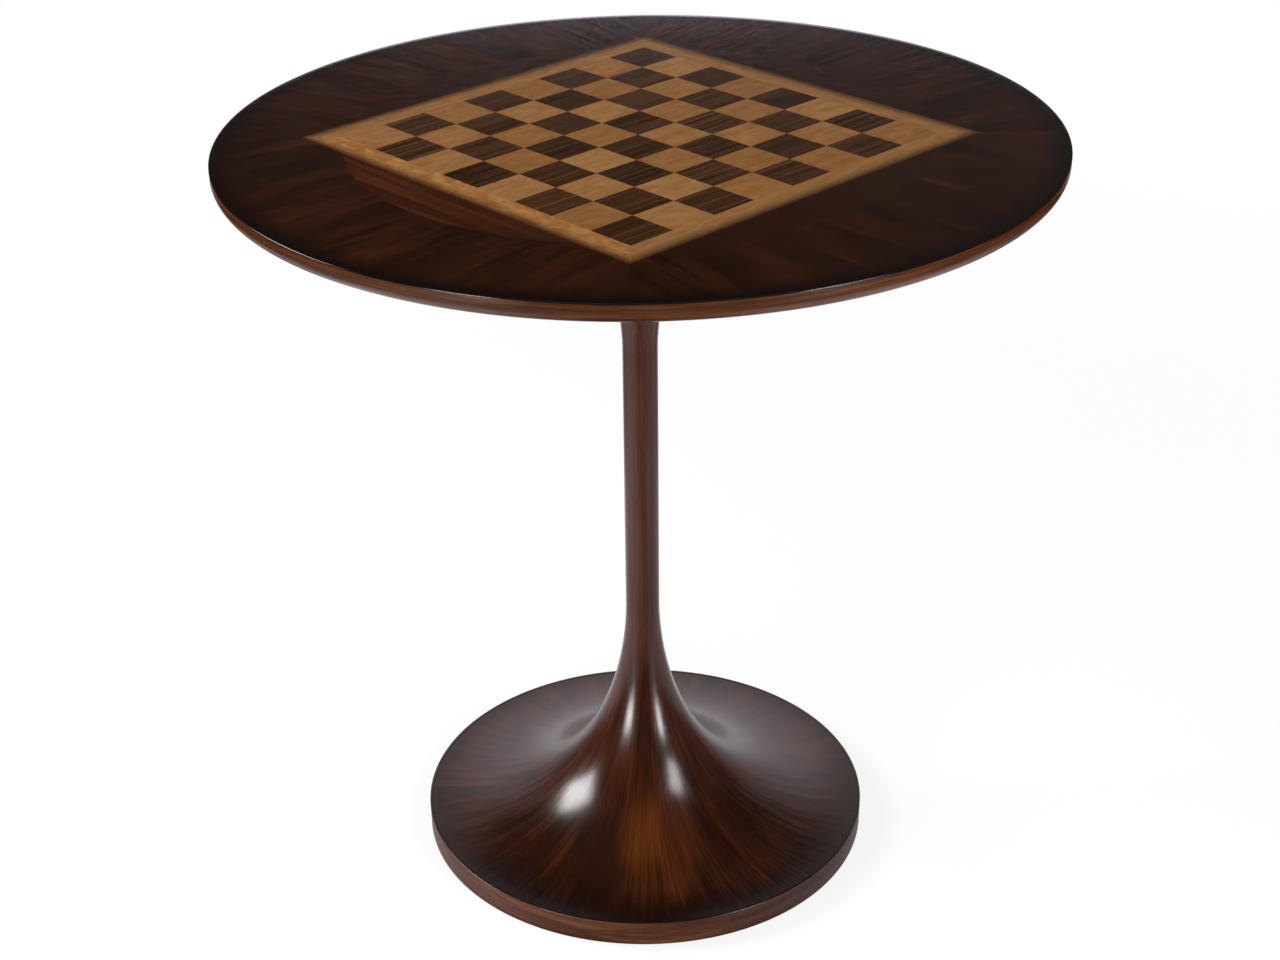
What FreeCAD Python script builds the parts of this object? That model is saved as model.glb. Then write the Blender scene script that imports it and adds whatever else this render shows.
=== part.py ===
import FreeCAD, Part
import math
import os

# A round pedestal games table: an inlaid chessboard in a veneered top, a slim turned column and a
# trumpet base, all drawn together by one tie rod. Lengths are in millimetres. The origin is on the
# floor under the column, +Z is up, and the board's edges run along X and Y. Front is -Y.

# Overall sizes
table_height = 746.0
top_diameter = 762.0
base_diameter = 461.0
column_diameter = 34.0

# Layers of the top, from the face down
face_veneer_thickness = 1.0
core_thickness = 17.0
backing_thickness = 1.0

# Edge of the top: upright face, then a curve drawn in to the underside
lipping_width = 18.0
rim_face_height = 7.5
rim_undercut = 13.0
face_arris = 0.6
round_handle_share = 0.5523

# Inlaid board and the veneers round it
squares_per_side = 8
square_pitch = 47.0
square_joint = 0.1
border_width = 23.0
segment_rise = 52.0

# Fits
glue_line = 0.1
screw_clearance = 0.1
thread_clearance = 0.08
rod_clearance = 0.5
seat_clearance = 0.5
overrun = 5.0

# Upper flare that carries the top
flare_diameter = 220.0
flare_height = 187.0
flare_lip = 6.0
flare_neck_handle_share = 0.144
flare_edge_handle_share = 0.894
flare_edge_rise = 15.0

# Tenons at both ends of the column stem
tenon_diameter = 21.0
tenon_length = 30.0
tenon_end_gap = 0.6

# Trumpet of the base and the leaves that cover it
trumpet_height = 260.0
dish_edge_height = 26.5
trumpet_neck_handle_share = 0.196
trumpet_edge_handle_share = 0.9413
dish_dip = 12.6
gore_count = 16
gore_thickness = 1.0

# Band round the rim of the base
band_thickness = 2.5
band_height = 27.0
band_floor_gap = 0.8
band_arris = 0.8

# Mounting plate under the top, its screws and locating pins
plate_diameter = 160.0
plate_thickness = 5.0
plate_screw_count = 6
plate_screw_inset = 18.0
plate_screw_length = 18.0
pin_count = 2
pin_inset = 35.0
pin_diameter = 8.0
pin_depth = 15.0

# Tie rod and what it screws into
rod_diameter = 10.0
rod_point = 1.0
rod_end_gap = 2.0
coupling_flats = 16.0
coupling_length = 30.0
nut_flats = 16.0
nut_height = 8.0
nut_thread_showing = 4.0
washer_diameter = 30.0
washer_thickness = 3.0

# Cast-iron weight in the base
weight_thickness = 15.0
hub_diameter = 140.0
hub_height = 18.0
hub_recess_diameter = 42.0
weight_chamfer = 2.0
weight_screw_count = 4
weight_screw_length = 30.0

# Underside of the base: the ring that stands on the floor, the bottom plate inside it, and the ledge
# that the plate is screwed to, round the weight
floor_ring_width = 38.0
ledge_width = 25.0
bottom_plate_thickness = 6.0
bottom_plate_recess = 3.0
bottom_screw_count = 6
bottom_screw_inset = 12.0
bottom_screw_length = 17.0

# Countersunk wood screw, used in all three places
screw_diameter = 4.5
screw_head_diameter = 9.0
screw_head_height = 2.6
screw_point = 4.0
screw_slot_width = 1.0
screw_slot_depth = 0.9

# Levelling glides, wound fully in
glide_count = 4
insert_diameter = 12.0
insert_length = 10.0
stud_diameter = 8.0
stud_above_insert = 2.0
stud_in_foot = 3.5
stud_point = 1.0
foot_diameter = 20.0
foot_thickness = 7.0
foot_edge_round = 2.0
foot_side_gap = 1.0
foot_rest_gap = 0.4
foot_floor_gap = 0.6

# Levels and radii that follow from the sizes above
top_radius = top_diameter / 2
core_radius = top_radius - lipping_width
face_low = table_height - face_veneer_thickness
core_low = face_low - core_thickness
underside = core_low - backing_thickness
plate_low = underside - plate_thickness
plate_radius = plate_diameter / 2
plate_screw_circle = plate_diameter - 2 * plate_screw_inset
pin_circle = plate_diameter - 2 * pin_inset
board_half = squares_per_side * square_pitch / 2
border_half = board_half + border_width
circle_radius = border_half + segment_rise
stem_radius = column_diameter / 2
flare_radius = flare_diameter / 2
flare_low = underside - flare_height
band_radius = base_diameter / 2
dish_radius = band_radius - band_thickness
bore_radius = rod_diameter / 2 + rod_clearance
bottom_plate_radius = dish_radius - floor_ring_width
bottom_screw_circle = 2 * (bottom_plate_radius - bottom_screw_inset)
weight_radius = bottom_plate_radius - ledge_width
hub_radius = hub_diameter / 2
weight_screw_circle = weight_radius + hub_radius
ledge = bottom_plate_recess + bottom_plate_thickness
weight_high = ledge + weight_thickness
hub_high = weight_high + hub_height
washer_seat = ledge + nut_thread_showing + nut_height + washer_thickness + rod_end_gap
glide_circle = 2 * dish_radius - floor_ring_width
glide_recess_radius = foot_diameter / 2 + foot_side_gap
glide_recess_depth = foot_floor_gap + foot_thickness + foot_rest_gap
insert_high = glide_recess_depth + insert_length
stud_high = insert_high + stud_above_insert
foot_low = foot_floor_gap
foot_high = foot_low + foot_thickness

SIDES = ["front", "right", "back", "left"]
ORIGIN = FreeCAD.Vector(0, 0, 0)
UP = FreeCAD.Vector(0, 0, 1)
FULL_TURN = 360.0


def cylinder(radius, low, high):
    return Part.makeCylinder(radius, high - low, FreeCAD.Vector(0, 0, low))


def section_point(radius, height):
    return FreeCAD.Vector(radius, 0, height)


def straight(*points):
    """Edges of a turned section through (radius, height) points."""
    corners = [section_point(radius, height) for radius, height in points]
    return [Part.makeLine(a, b) for a, b in zip(corners, corners[1:])]


def curve(*poles):
    """One Bezier edge of a turned section."""
    bezier = Part.BezierCurve()
    bezier.setPoles([section_point(radius, height) for radius, height in poles])
    return [bezier.toShape()]


def turned(edges, angle=FULL_TURN):
    return Part.Face(Part.Wire(edges)).revolve(ORIGIN, UP, angle)


def prism(corners, low, high):
    """Upright prism on (x, y) corners."""
    ring = [FreeCAD.Vector(x, y, low) for x, y in corners]
    return Part.Face(Part.makePolygon(ring + ring[:1])).extrude(UP * (high - low))


def hexagon(flats, low, high):
    corner = flats / math.sqrt(3)
    turns = [math.radians(FULL_TURN / 6 * step) for step in range(6)]
    return prism([(corner * math.cos(turn), corner * math.sin(turn)) for turn in turns], low, high)


def spun(shape, angle):
    copy = shape.copy()
    copy.rotate(ORIGIN, UP, angle)
    return copy


def moved(shape, x, y, z):
    copy = shape.copy()
    copy.translate(FreeCAD.Vector(x, y, z))
    return copy


def ring_of(shape, count, circle, start_share=0.0):
    """Copies of a shape spread evenly on a circle, the first turned by a share of the spacing."""
    first = moved(shape, circle / 2, 0, 0)
    return [spun(first, FULL_TURN * (step + start_share) / count) for step in range(count)]


def screw(length, spare=0.0):
    """Countersunk screw pointing up from its head at height 0, or its hole with some to spare."""
    shank = screw_diameter / 2 + spare
    head = screw_head_diameter / 2 + spare
    point = length - screw_point
    tip = shank / 2
    return turned(straight((0, 0), (head, 0), (shank, screw_head_height), (shank, point), (tip, length),
                           (0, length), (0, 0)))


def slotted_screw(length):
    reach = screw_head_diameter / 2 + overrun
    half = screw_slot_width / 2
    slot = prism([(-reach, -half), (reach, -half), (reach, half), (-reach, half)], 0, screw_slot_depth)
    return screw(length).cut(slot)


def save(node, *solids):
    shape = solids[0] if len(solids) == 1 else Part.makeCompound(list(solids))
    shape.exportStep("parts/" + node + ".step")
    print(node, len(shape.Solids), round(shape.Volume, 1), shape.isValid())


# Screws at their places, and the holes that they leave
def plate_screws(one):
    return ring_of(moved(one, 0, 0, plate_low), plate_screw_count, plate_screw_circle)


def weight_screws(one):
    return ring_of(moved(one, 0, 0, ledge), weight_screw_count, weight_screw_circle)


def bottom_screws(one):
    return ring_of(moved(one, 0, 0, bottom_plate_recess), bottom_screw_count, bottom_screw_circle)


plate_screw_holes = plate_screws(screw(plate_screw_length, screw_clearance))
weight_screw_holes = weight_screws(screw(weight_screw_length, screw_clearance))
bottom_screw_holes = bottom_screws(screw(bottom_screw_length, screw_clearance))


# The top: core, backing and lipping
def make_core():
    return cylinder(core_radius, core_low, face_low).cut(plate_screw_holes)


def make_backing():
    return cylinder(core_radius, underside, core_low).cut(plate_screw_holes)


def make_lipping():
    inner = core_radius + glue_line
    flat_edge = top_radius - rim_undercut
    face_foot = table_height - rim_face_height
    drop = face_foot - underside
    section = straight((flat_edge, underside), (inner, underside), (inner, face_low),
                       (top_radius, face_low), (top_radius, face_foot))
    section += curve((top_radius, face_foot), (top_radius, face_foot - drop * round_handle_share),
                     (flat_edge + rim_undercut * round_handle_share, underside), (flat_edge, underside))
    return turned(section)


# The face: surround panels, segments, border strips and squares in one layer
def make_face_layer():
    arris_low = table_height - face_arris
    arris_in = top_radius - face_arris
    return turned(straight((0, face_low), (top_radius, face_low), (top_radius, arris_low),
                           (arris_in, table_height), (0, table_height), (0, face_low)))


def front_quarter():
    """The quarter of the layer in front of the board, between its two diagonals."""
    return prism([(0, 0), (-top_diameter, -top_diameter), (top_diameter, -top_diameter)],
                 face_low, table_height)


def board_block():
    half = border_half
    return prism([(-half, -half), (half, -half), (half, half), (-half, half)], face_low, table_height)


def make_surround():
    outside = make_face_layer().common(front_quarter())
    return outside.cut([cylinder(circle_radius, face_low, table_height), board_block()])


def make_segment():
    disc = cylinder(circle_radius, face_low, table_height)
    return disc.common(front_quarter()).cut(board_block())


def make_border():
    return prism([(-border_half, -border_half), (border_half, -border_half),
                  (board_half, -board_half), (-board_half, -board_half)], face_low, table_height)


def make_squares(shade):
    """Squares of one shade; 0 is the dark one, which holds the front left corner."""
    side = square_pitch - square_joint
    squares = []
    for file in range(squares_per_side):
        for rank in range(squares_per_side):
            if (file + rank) % 2 == shade:
                x = file * square_pitch - board_half + square_joint / 2
                y = rank * square_pitch - board_half + square_joint / 2
                corner = FreeCAD.Vector(x, y, face_low)
                squares.append(Part.makeBox(side, side, face_veneer_thickness, corner))
    return squares


# What carries the top: plate, pins, coupling and upper flare
def make_plate():
    plate = cylinder(plate_radius, plate_low, underside)
    rod_hole = cylinder(bore_radius, plate_low, underside)
    pin_holes = ring_of(cylinder(pin_diameter / 2 + thread_clearance, plate_low, underside),
                        pin_count, pin_circle, 0.5)
    return plate.cut([rod_hole] + pin_holes + plate_screw_holes)


def make_pins():
    pin = cylinder(pin_diameter / 2, plate_low - pin_depth, underside)
    return ring_of(pin, pin_count, pin_circle, 0.5)


def make_coupling():
    low = plate_low - coupling_length
    thread = cylinder(rod_diameter / 2 + thread_clearance, low, plate_low)
    return hexagon(coupling_flats, low, plate_low).cut(thread)


def make_flare():
    lip_low = underside - flare_lip
    reach = flare_radius - stem_radius
    rise = lip_low - flare_low
    section = curve((stem_radius, flare_low), (stem_radius, flare_low + rise * flare_neck_handle_share),
                    (flare_radius - reach * flare_edge_handle_share, lip_low - flare_edge_rise),
                    (flare_radius, lip_low))
    section += straight((flare_radius, lip_low), (flare_radius, underside), (0, underside),
                        (0, flare_low), (stem_radius, flare_low))
    plate_seat = cylinder(plate_radius + seat_clearance, plate_low, underside)
    coupling_corner = coupling_flats / math.sqrt(3)
    coupling_room = cylinder(coupling_corner + seat_clearance, plate_low - coupling_length - seat_clearance,
                             plate_low)
    bore = cylinder(bore_radius, flare_low, underside)
    socket = cylinder(tenon_diameter / 2 + glue_line, flare_low, flare_low + tenon_length + tenon_end_gap)
    pin_room = cylinder(pin_diameter / 2 + glue_line, plate_low - pin_depth - seat_clearance, plate_low)
    pin_rooms = ring_of(pin_room, pin_count, pin_circle, 0.5)
    return turned(section).cut([plate_seat, coupling_room, bore, socket] + pin_rooms)


# Column stem and tie rod
def make_stem():
    low_tenon = trumpet_height - tenon_length
    high_tenon = flare_low + tenon_length
    stem = cylinder(stem_radius, trumpet_height, flare_low)
    tenons = cylinder(tenon_diameter / 2, low_tenon, high_tenon)
    return stem.fuse(tenons).removeSplitter().cut(cylinder(bore_radius, low_tenon, high_tenon))


def make_rod():
    low = ledge + rod_end_gap
    high = plate_low - rod_end_gap
    radius = rod_diameter / 2
    return turned(straight((0, low), (radius - rod_point, low), (radius, low + rod_point),
                           (radius, high - rod_point), (radius - rod_point, high), (0, high), (0, low)))


def make_washer():
    low = washer_seat - washer_thickness
    return cylinder(washer_diameter / 2, low, washer_seat).cut(cylinder(bore_radius, low, washer_seat))


def make_nut():
    high = washer_seat - washer_thickness
    low = high - nut_height
    return hexagon(nut_flats, low, high).cut(cylinder(rod_diameter / 2 + thread_clearance, low, high))


# The trumpet: one sweep from the column to the rim, drawn in by the thickness of what covers it
def trumpet_line(depth):
    neck = stem_radius - depth
    edge = dish_edge_height - depth
    handle = (trumpet_height - dish_edge_height) * trumpet_neck_handle_share
    reach = (dish_radius - stem_radius) * trumpet_edge_handle_share
    return [(neck, trumpet_height), (neck, trumpet_height - handle),
            (dish_radius - reach - depth, edge - dish_dip), (dish_radius, edge)]


def make_gore():
    outer = trumpet_line(0)
    inner = trumpet_line(gore_thickness - glue_line)
    section = curve(*outer) + straight(outer[-1], inner[-1]) + curve(*inner[::-1])
    section += straight(inner[0], outer[0])
    return turned(section, FULL_TURN / gore_count)


def glide_cut():
    """Room for one glide: recess for the foot, hole for the insert and for the stud's end."""
    recess = cylinder(glide_recess_radius, 0, glide_recess_depth)
    insert_room = cylinder(insert_diameter / 2 + glue_line, 0, insert_high)
    stud_room = cylinder(stud_diameter / 2 + seat_clearance, 0, stud_high + seat_clearance)
    return recess.fuse([insert_room, stud_room])


def make_trumpet():
    line = trumpet_line(gore_thickness)
    section = curve(*line) + straight(line[-1], (dish_radius, 0), (0, 0), (0, trumpet_height), line[0])
    socket_low = trumpet_height - tenon_length - tenon_end_gap
    socket = cylinder(tenon_diameter / 2 + glue_line, socket_low, trumpet_height)
    bore = cylinder(bore_radius, 0, trumpet_height)
    plate_room = cylinder(bottom_plate_radius + seat_clearance, 0, ledge)
    weight_room = cylinder(weight_radius + seat_clearance, 0, weight_high)
    hub_room = cylinder(hub_radius + seat_clearance, 0, hub_high)
    glide_rooms = ring_of(glide_cut(), glide_count, glide_circle, 0.5)
    rooms = [socket, bore, plate_room, weight_room, hub_room] + glide_rooms
    return turned(section).cut(rooms + weight_screw_holes + bottom_screw_holes)


def make_band():
    inner = dish_radius + glue_line
    arris_in = band_radius - band_arris
    arris_low = band_height - band_arris
    return turned(straight((inner, band_floor_gap), (band_radius, band_floor_gap), (band_radius, arris_low),
                           (arris_in, band_height), (inner, band_height), (inner, band_floor_gap)))


# Weight, bottom plate and glides
def make_weight():
    edge = weight_radius
    hub = hub_radius
    bevel = weight_chamfer
    section = straight((0, ledge), (edge - bevel, ledge), (edge, ledge + bevel), (edge, weight_high - bevel),
                       (edge - bevel, weight_high), (hub, weight_high), (hub, hub_high - bevel),
                       (hub - bevel, hub_high), (0, hub_high), (0, ledge))
    nut_room = cylinder(hub_recess_diameter / 2, ledge, washer_seat)
    bore = cylinder(bore_radius, ledge, hub_high)
    return turned(section).cut([nut_room, bore] + weight_screw_holes)


def make_bottom_plate():
    return cylinder(bottom_plate_radius, bottom_plate_recess, ledge).cut(bottom_screw_holes)


def make_insert():
    sleeve = cylinder(insert_diameter / 2, glide_recess_depth, insert_high)
    return sleeve.cut(cylinder(stud_diameter / 2 + thread_clearance, glide_recess_depth, insert_high))


def make_stud():
    low = foot_high - stud_in_foot
    radius = stud_diameter / 2
    return turned(straight((0, low), (radius, low), (radius, stud_high - stud_point),
                           (radius - stud_point, stud_high), (0, stud_high), (0, low)))


def make_foot():
    radius = foot_diameter / 2
    handle = foot_edge_round * (1 - round_handle_share)
    section = straight((radius, foot_low + foot_edge_round), (radius, foot_high), (0, foot_high),
                       (0, foot_low), (radius - foot_edge_round, foot_low))
    section += curve((radius - foot_edge_round, foot_low), (radius - handle, foot_low),
                     (radius, foot_low + handle), (radius, foot_low + foot_edge_round))
    stud_seat = cylinder(stud_diameter / 2 + glue_line, foot_high - stud_in_foot, foot_high)
    return turned(section).cut(stud_seat)


os.makedirs("parts", exist_ok=True)

save("top_core", make_core())
save("backing_veneer", make_backing())
save("edge_lipping", make_lipping())
for quarter, side in enumerate(SIDES):
    turn = FULL_TURN * quarter / len(SIDES)
    save("surround_" + side, spun(make_surround(), turn))
    save("segment_" + side, spun(make_segment(), turn))
    save("border_" + side, spun(make_border(), turn))
save("dark_squares", *make_squares(0))
save("light_squares", *make_squares(1))

save("mounting_plate", make_plate())
save("plate_screws", *plate_screws(slotted_screw(plate_screw_length)))
save("locating_pins", *make_pins())
save("rod_coupling", make_coupling())
save("upper_flare", make_flare())
save("column_stem", make_stem())
save("tie_rod", make_rod())
save("rod_washer", make_washer())
save("rod_nut", make_nut())

save("trumpet_core", make_trumpet())
for gore in range(gore_count):
    save("trumpet_gore_%02d" % (gore + 1), spun(make_gore(), FULL_TURN * gore / gore_count))
save("base_band", make_band())
save("base_weight", make_weight())
save("weight_screws", *weight_screws(slotted_screw(weight_screw_length)))
save("bottom_plate", make_bottom_plate())
save("bottom_screws", *bottom_screws(slotted_screw(bottom_screw_length)))

save("glide_inserts", *ring_of(make_insert(), glide_count, glide_circle, 0.5))
studs = ring_of(make_stud(), glide_count, glide_circle, 0.5)
feet = ring_of(make_foot(), glide_count, glide_circle, 0.5)
for number, (stud, foot) in enumerate(zip(studs, feet), 1):
    save("glide_stud_%d" % number, stud)
    save("glide_foot_%d" % number, foot)
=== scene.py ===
# %% [markdown]
# # A pedestal chess table
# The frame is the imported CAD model: every solid of the table, already in place and in metres, with the
# floor at height 0 and the board's edges along X and Y. It is loaded first and never moved. What follows
# builds finer surfaces over the parts that show, gives every part its finish, and lights the whole.

# %% Load the frame
import math

import bmesh
import bpy
import numpy as np
from mathutils import Matrix, Vector


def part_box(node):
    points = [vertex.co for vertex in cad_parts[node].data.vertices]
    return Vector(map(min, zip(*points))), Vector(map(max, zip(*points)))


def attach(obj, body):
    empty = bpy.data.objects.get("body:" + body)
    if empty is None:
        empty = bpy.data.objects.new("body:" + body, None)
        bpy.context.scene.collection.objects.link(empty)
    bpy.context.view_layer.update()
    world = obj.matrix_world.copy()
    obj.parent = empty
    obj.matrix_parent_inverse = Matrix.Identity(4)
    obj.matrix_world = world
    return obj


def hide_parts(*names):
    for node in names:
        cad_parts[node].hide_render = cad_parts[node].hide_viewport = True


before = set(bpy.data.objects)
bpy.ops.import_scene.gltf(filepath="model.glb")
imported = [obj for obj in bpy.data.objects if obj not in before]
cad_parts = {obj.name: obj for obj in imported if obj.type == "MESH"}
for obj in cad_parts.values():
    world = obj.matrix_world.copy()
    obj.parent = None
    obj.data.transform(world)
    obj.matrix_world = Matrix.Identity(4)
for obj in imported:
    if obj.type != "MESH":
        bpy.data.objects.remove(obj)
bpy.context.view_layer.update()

# %% [markdown]
# ## Sizes from the frame
# The levels and radii of the table could be typed in again, but then they could drift from the solids.
# They are read from the boxes of the solids instead. Only curves have no box to read, so their handles
# are written out where the curve is first drawn.

# %% Read the sizes
MM = 0.001
FACE_LOW, FACE_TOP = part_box("surround_front")[0].z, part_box("surround_front")[1].z
TOP_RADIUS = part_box("edge_lipping")[1].x
CIRCLE_RADIUS = -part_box("segment_front")[0].y
BORDER_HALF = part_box("border_front")[1].x
BOARD_HALF = -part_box("border_front")[1].y
DISH_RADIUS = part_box("trumpet_core")[1].x
print("top radius", round(TOP_RADIUS, 4), "board half", round(BOARD_HALF, 4),
      "dish radius", round(DISH_RADIUS, 4))

# %% [markdown]
# ## From arrays to a piece
# Two kinds of body cover the whole table. A leaf of veneer is a slab: one grid of points for its face,
# one for its back, and walls between their edges. A turned part is a closed profile carried round the
# axis. Modifiers could make both, but a whole array says in one line where every point lies. Each body is
# an array of points and an array of faces.

# %% Faces of a grid, a slab and a turned body
def quads(ids):
    """Four-sided faces between neighbours in a 2-D array of point numbers."""
    return np.stack([ids[:-1, :-1], ids[1:, :-1], ids[1:, 1:], ids[:-1, 1:]], axis=-1).reshape(-1, 4)


def slab(face, back):
    """Body between two grids of the same shape: both grids' faces, and a wall along each of four edges."""
    front = np.arange(face[..., 0].size).reshape(face.shape[:2])
    rear = front + front.size
    walls = [np.stack([front[edge], rear[edge]]) for edge in (0, -1)]
    walls += [np.stack([front[:, edge], rear[:, edge]]) for edge in (0, -1)]
    faces = np.concatenate([quads(front), quads(rear)] + [quads(wall) for wall in walls])
    return np.concatenate([face.reshape(-1, 3), back.reshape(-1, 3)]), faces


def turned(profile, steps=360):
    """Closed profile of (radius, height) rows carried round Z: x = r cos a, y = r sin a, z = h."""
    angle = np.linspace(0, 2 * np.pi, steps, endpoint=False)[:, None]
    radius, height = profile[:, 0], profile[:, 1] + 0 * angle
    points = np.stack([radius * np.cos(angle), radius * np.sin(angle), height], axis=-1)
    ids = np.arange(points[..., 0].size).reshape(points.shape[:2])
    ids = np.pad(ids, ((0, 1), (0, 1)), mode="wrap")
    return points.reshape(-1, 3), quads(ids)


def bezier(poles, count):
    """Cubic curve through its four poles: the poles weighted by (1-t)^3, 3t(1-t)^2, 3t^2(1-t) and t^3."""
    t = np.linspace(0, 1, count)[:, None]
    weights = [(1 - t) ** 3, 3 * t * (1 - t) ** 2, 3 * t ** 2 * (1 - t), t ** 3]
    return sum(weight * np.array(pole) for weight, pole in zip(weights, poles))


def quarter_round(radius, height, size, count=6):
    """Outer top arris of a turned edge: a quarter circle from the face out and down to the side."""
    t = np.linspace(0, np.pi / 2, count)
    return np.stack([radius - size + size * np.sin(t), height - size + size * np.cos(t)], axis=-1)


print("a grid of 3 by 4 points has", len(quads(np.arange(12).reshape(3, 4))), "faces")

# %% [markdown]
# One function makes the object from such arrays. It welds points that fall on each other, turns the faces
# outwards and keeps the real edges sharp. The piece then rides on its body and stands for its solids.

# %% Make the object
WELD = 0.001 * MM
SHARP_ANGLE = math.radians(35)


def new_object(name, data):
    """An object with its data, put into the scene."""
    thing = bpy.data.objects.new(name, data)
    bpy.context.scene.collection.objects.link(thing)
    return thing


def make_piece(name, body_arrays, nodes, rides_on="table"):
    """Welded mesh with its faces outwards, smooth but for its real edges, riding in place of its solids."""
    points, faces = body_arrays
    mesh = bpy.data.meshes.new(name)
    mesh.from_pydata(points.tolist(), [], faces.tolist())
    shell = bmesh.new()
    shell.from_mesh(mesh)
    bmesh.ops.remove_doubles(shell, verts=shell.verts, dist=WELD)
    bmesh.ops.recalc_face_normals(shell, faces=shell.faces)
    shell.to_mesh(mesh)
    shell.free()
    mesh.shade_smooth()
    mesh.set_sharp_from_angle(angle=SHARP_ANGLE)
    piece = new_object(name, mesh)
    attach(piece, rides_on)
    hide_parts(*nodes)
    return piece


def places(piece):
    """Every point of a piece as rows of x, y and z."""
    flat = np.empty(3 * len(piece.data.vertices))
    piece.data.vertices.foreach_get("co", flat)
    return flat.reshape(-1, 3)


def say(*pieces):
    """Print each piece's number of faces and the two corners of its box in millimetres."""
    for piece in pieces:
        low, high = places(piece).min(axis=0) / MM, places(piece).max(axis=0) / MM
        print(piece.name, len(piece.data.polygons), "faces, mm", low.round(1), high.round(1))

# %% [markdown]
# ## Veneers of the face
# The face is one millimetre of veneer, cut into panels and laid edge to edge. Four panels of the same
# shape lie round the board, so each is worked out once, at the front, and turned by quarters. A veneer's
# figure follows the leaf and not the table, so each piece also carries an attribute, grain: metres along
# the fibres, metres across them, and a number for the leaf. The materials draw on that.

# %% Turn a front veneer to its side, and note its grain
SIDES = ["front", "right", "back", "left"]


def lay_veneers(kind, body_arrays, grain):
    """One veneer for each side of the board; grain gives (along, across) from the front piece's x and y."""
    laid = []
    for quarter, side in enumerate(SIDES):
        node = kind + "_" + side
        piece = make_piece(node + "_veneer", body_arrays, [node])
        front = places(piece)
        along, across = grain(front[:, 0], front[:, 1])
        note_grain(piece, along, across, quarter + 0 * along)
        turn = np.array(Matrix.Rotation(quarter * math.pi / 2, 3, "Z"))
        piece.data.vertices.foreach_set("co", (front @ turn.T).ravel())
        piece.data.update()
        laid.append(piece)
    return laid


def note_grain(piece, along, across, leaf):
    """The grain attribute on every point: metres along the fibres, metres across, number of the leaf."""
    attribute = piece.data.attributes.new("grain", "FLOAT_VECTOR", "POINT")
    attribute.data.foreach_set("vector", np.stack([along, across, leaf], axis=-1).astype(np.float32).ravel())

# %% [markdown]
# ### Surround
# The four dark panels run from the inlaid circle, or from the board's edge near its corners, out to the
# rim, and meet in mitres on the board's diagonals. A panel is a grid of angle and reach: the first runs
# from mitre to mitre, the second from the inner edge to the rim, where the arris is rounded so that it
# catches a thin line of light. The fibres stand square to the board's edge and spread a little outwards.

# %% Lay the surround
ARRIS = 0.6 * MM
FAN = 1.25


def surround_body():
    """At angle a, r = inner + s (rim - inner), inner = max(circle, border / cos a); the rim has an arris."""
    corner = math.acos(BORDER_HALF / CIRCLE_RADIUS)
    angle = np.concatenate([np.linspace(-np.pi / 4, -corner, 13)[:-1], np.linspace(-corner, corner, 97),
                            np.linspace(corner, np.pi / 4, 13)[1:]])[:, None]
    inner = np.maximum(CIRCLE_RADIUS, BORDER_HALF / np.cos(angle))
    edge = quarter_round(TOP_RADIUS, FACE_TOP, ARRIS)
    share = np.linspace(0, 1, 17)[:-1]
    reach = np.concatenate([inner + share * (edge[0, 0] - inner), edge[:, 0] + 0 * angle], axis=1)
    height = np.concatenate([np.full(share.size, FACE_TOP), edge[:, 1]]) + 0 * angle
    below = np.concatenate([reach[:, :-1], np.full_like(angle, TOP_RADIUS)], axis=1)
    across, out = np.sin(angle), -np.cos(angle)
    face = np.stack([reach * across, reach * out, height], axis=-1)
    back = np.stack([below * across, below * out, np.full_like(below, FACE_LOW)], axis=-1)
    return slab(face, back)


surrounds = lay_veneers("surround", surround_body(),
                        lambda x, y: (-y - BORDER_HALF, x / (1 + FAN * (-y - BORDER_HALF))))
say(*surrounds)

# %% [markdown]
# ### Segments and border
# Between the board and the inlaid circle lie four segments with their fibres along the board's edge. A
# segment is a grid between a chord and an arc, and its two ends close to a point. The pale border strips
# are straight, mitred at the board's corners, and lie on a grid of length and width.

# %% Lay the segments and the border
def flat_leaf(x, y):
    """Slab with the same x and y on its face and on its back."""
    return slab(np.stack([x, y, 0 * x + FACE_TOP], -1), np.stack([x, y, 0 * x + FACE_LOW], -1))


def segment_body():
    """From the chord y = -border to the arc y = -sqrt(R^2 - x^2), for x between the two ends of the chord."""
    half_chord = math.sqrt(CIRCLE_RADIUS ** 2 - BORDER_HALF ** 2)
    x = half_chord * np.sin(np.linspace(-np.pi / 2, np.pi / 2, 81))[:, None]
    share = np.linspace(0, 1, 9)
    arc = np.sqrt(CIRCLE_RADIUS ** 2 - x ** 2)
    y = -(BORDER_HALF + share * (arc - BORDER_HALF))
    return flat_leaf(x + 0 * y, y)


def border_body():
    """Strip of width w on the board's edge: y = -(board + s w), x = u (board + s w), u from -1 to 1."""
    u, share = np.linspace(-1, 1, 41)[:, None], np.linspace(0, 1, 5)
    reach = BOARD_HALF + share * (BORDER_HALF - BOARD_HALF) + 0 * u
    return flat_leaf(u * reach, -reach)


segments = lay_veneers("segment", segment_body(), lambda x, y: (x, -y - BORDER_HALF))
borders = lay_veneers("border", border_body(), lambda x, y: (x, -y - BOARD_HALF))
say(*segments[:1], *borders[:1])

# %% [markdown]
# ### Squares
# Sixty-four squares are cut from two woods and laid in turns. One square is worked out as a small grid
# whose outermost row is eased down a hair, and the same grid is added to the thirty-two places of its
# wood at once, as one array. The number of the square is its leaf, so that every square may differ.

# %% Lay the squares
PITCH = BOARD_HALF / 4
JOINT = 0.1 * MM
EASE = 0.05 * MM


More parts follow.
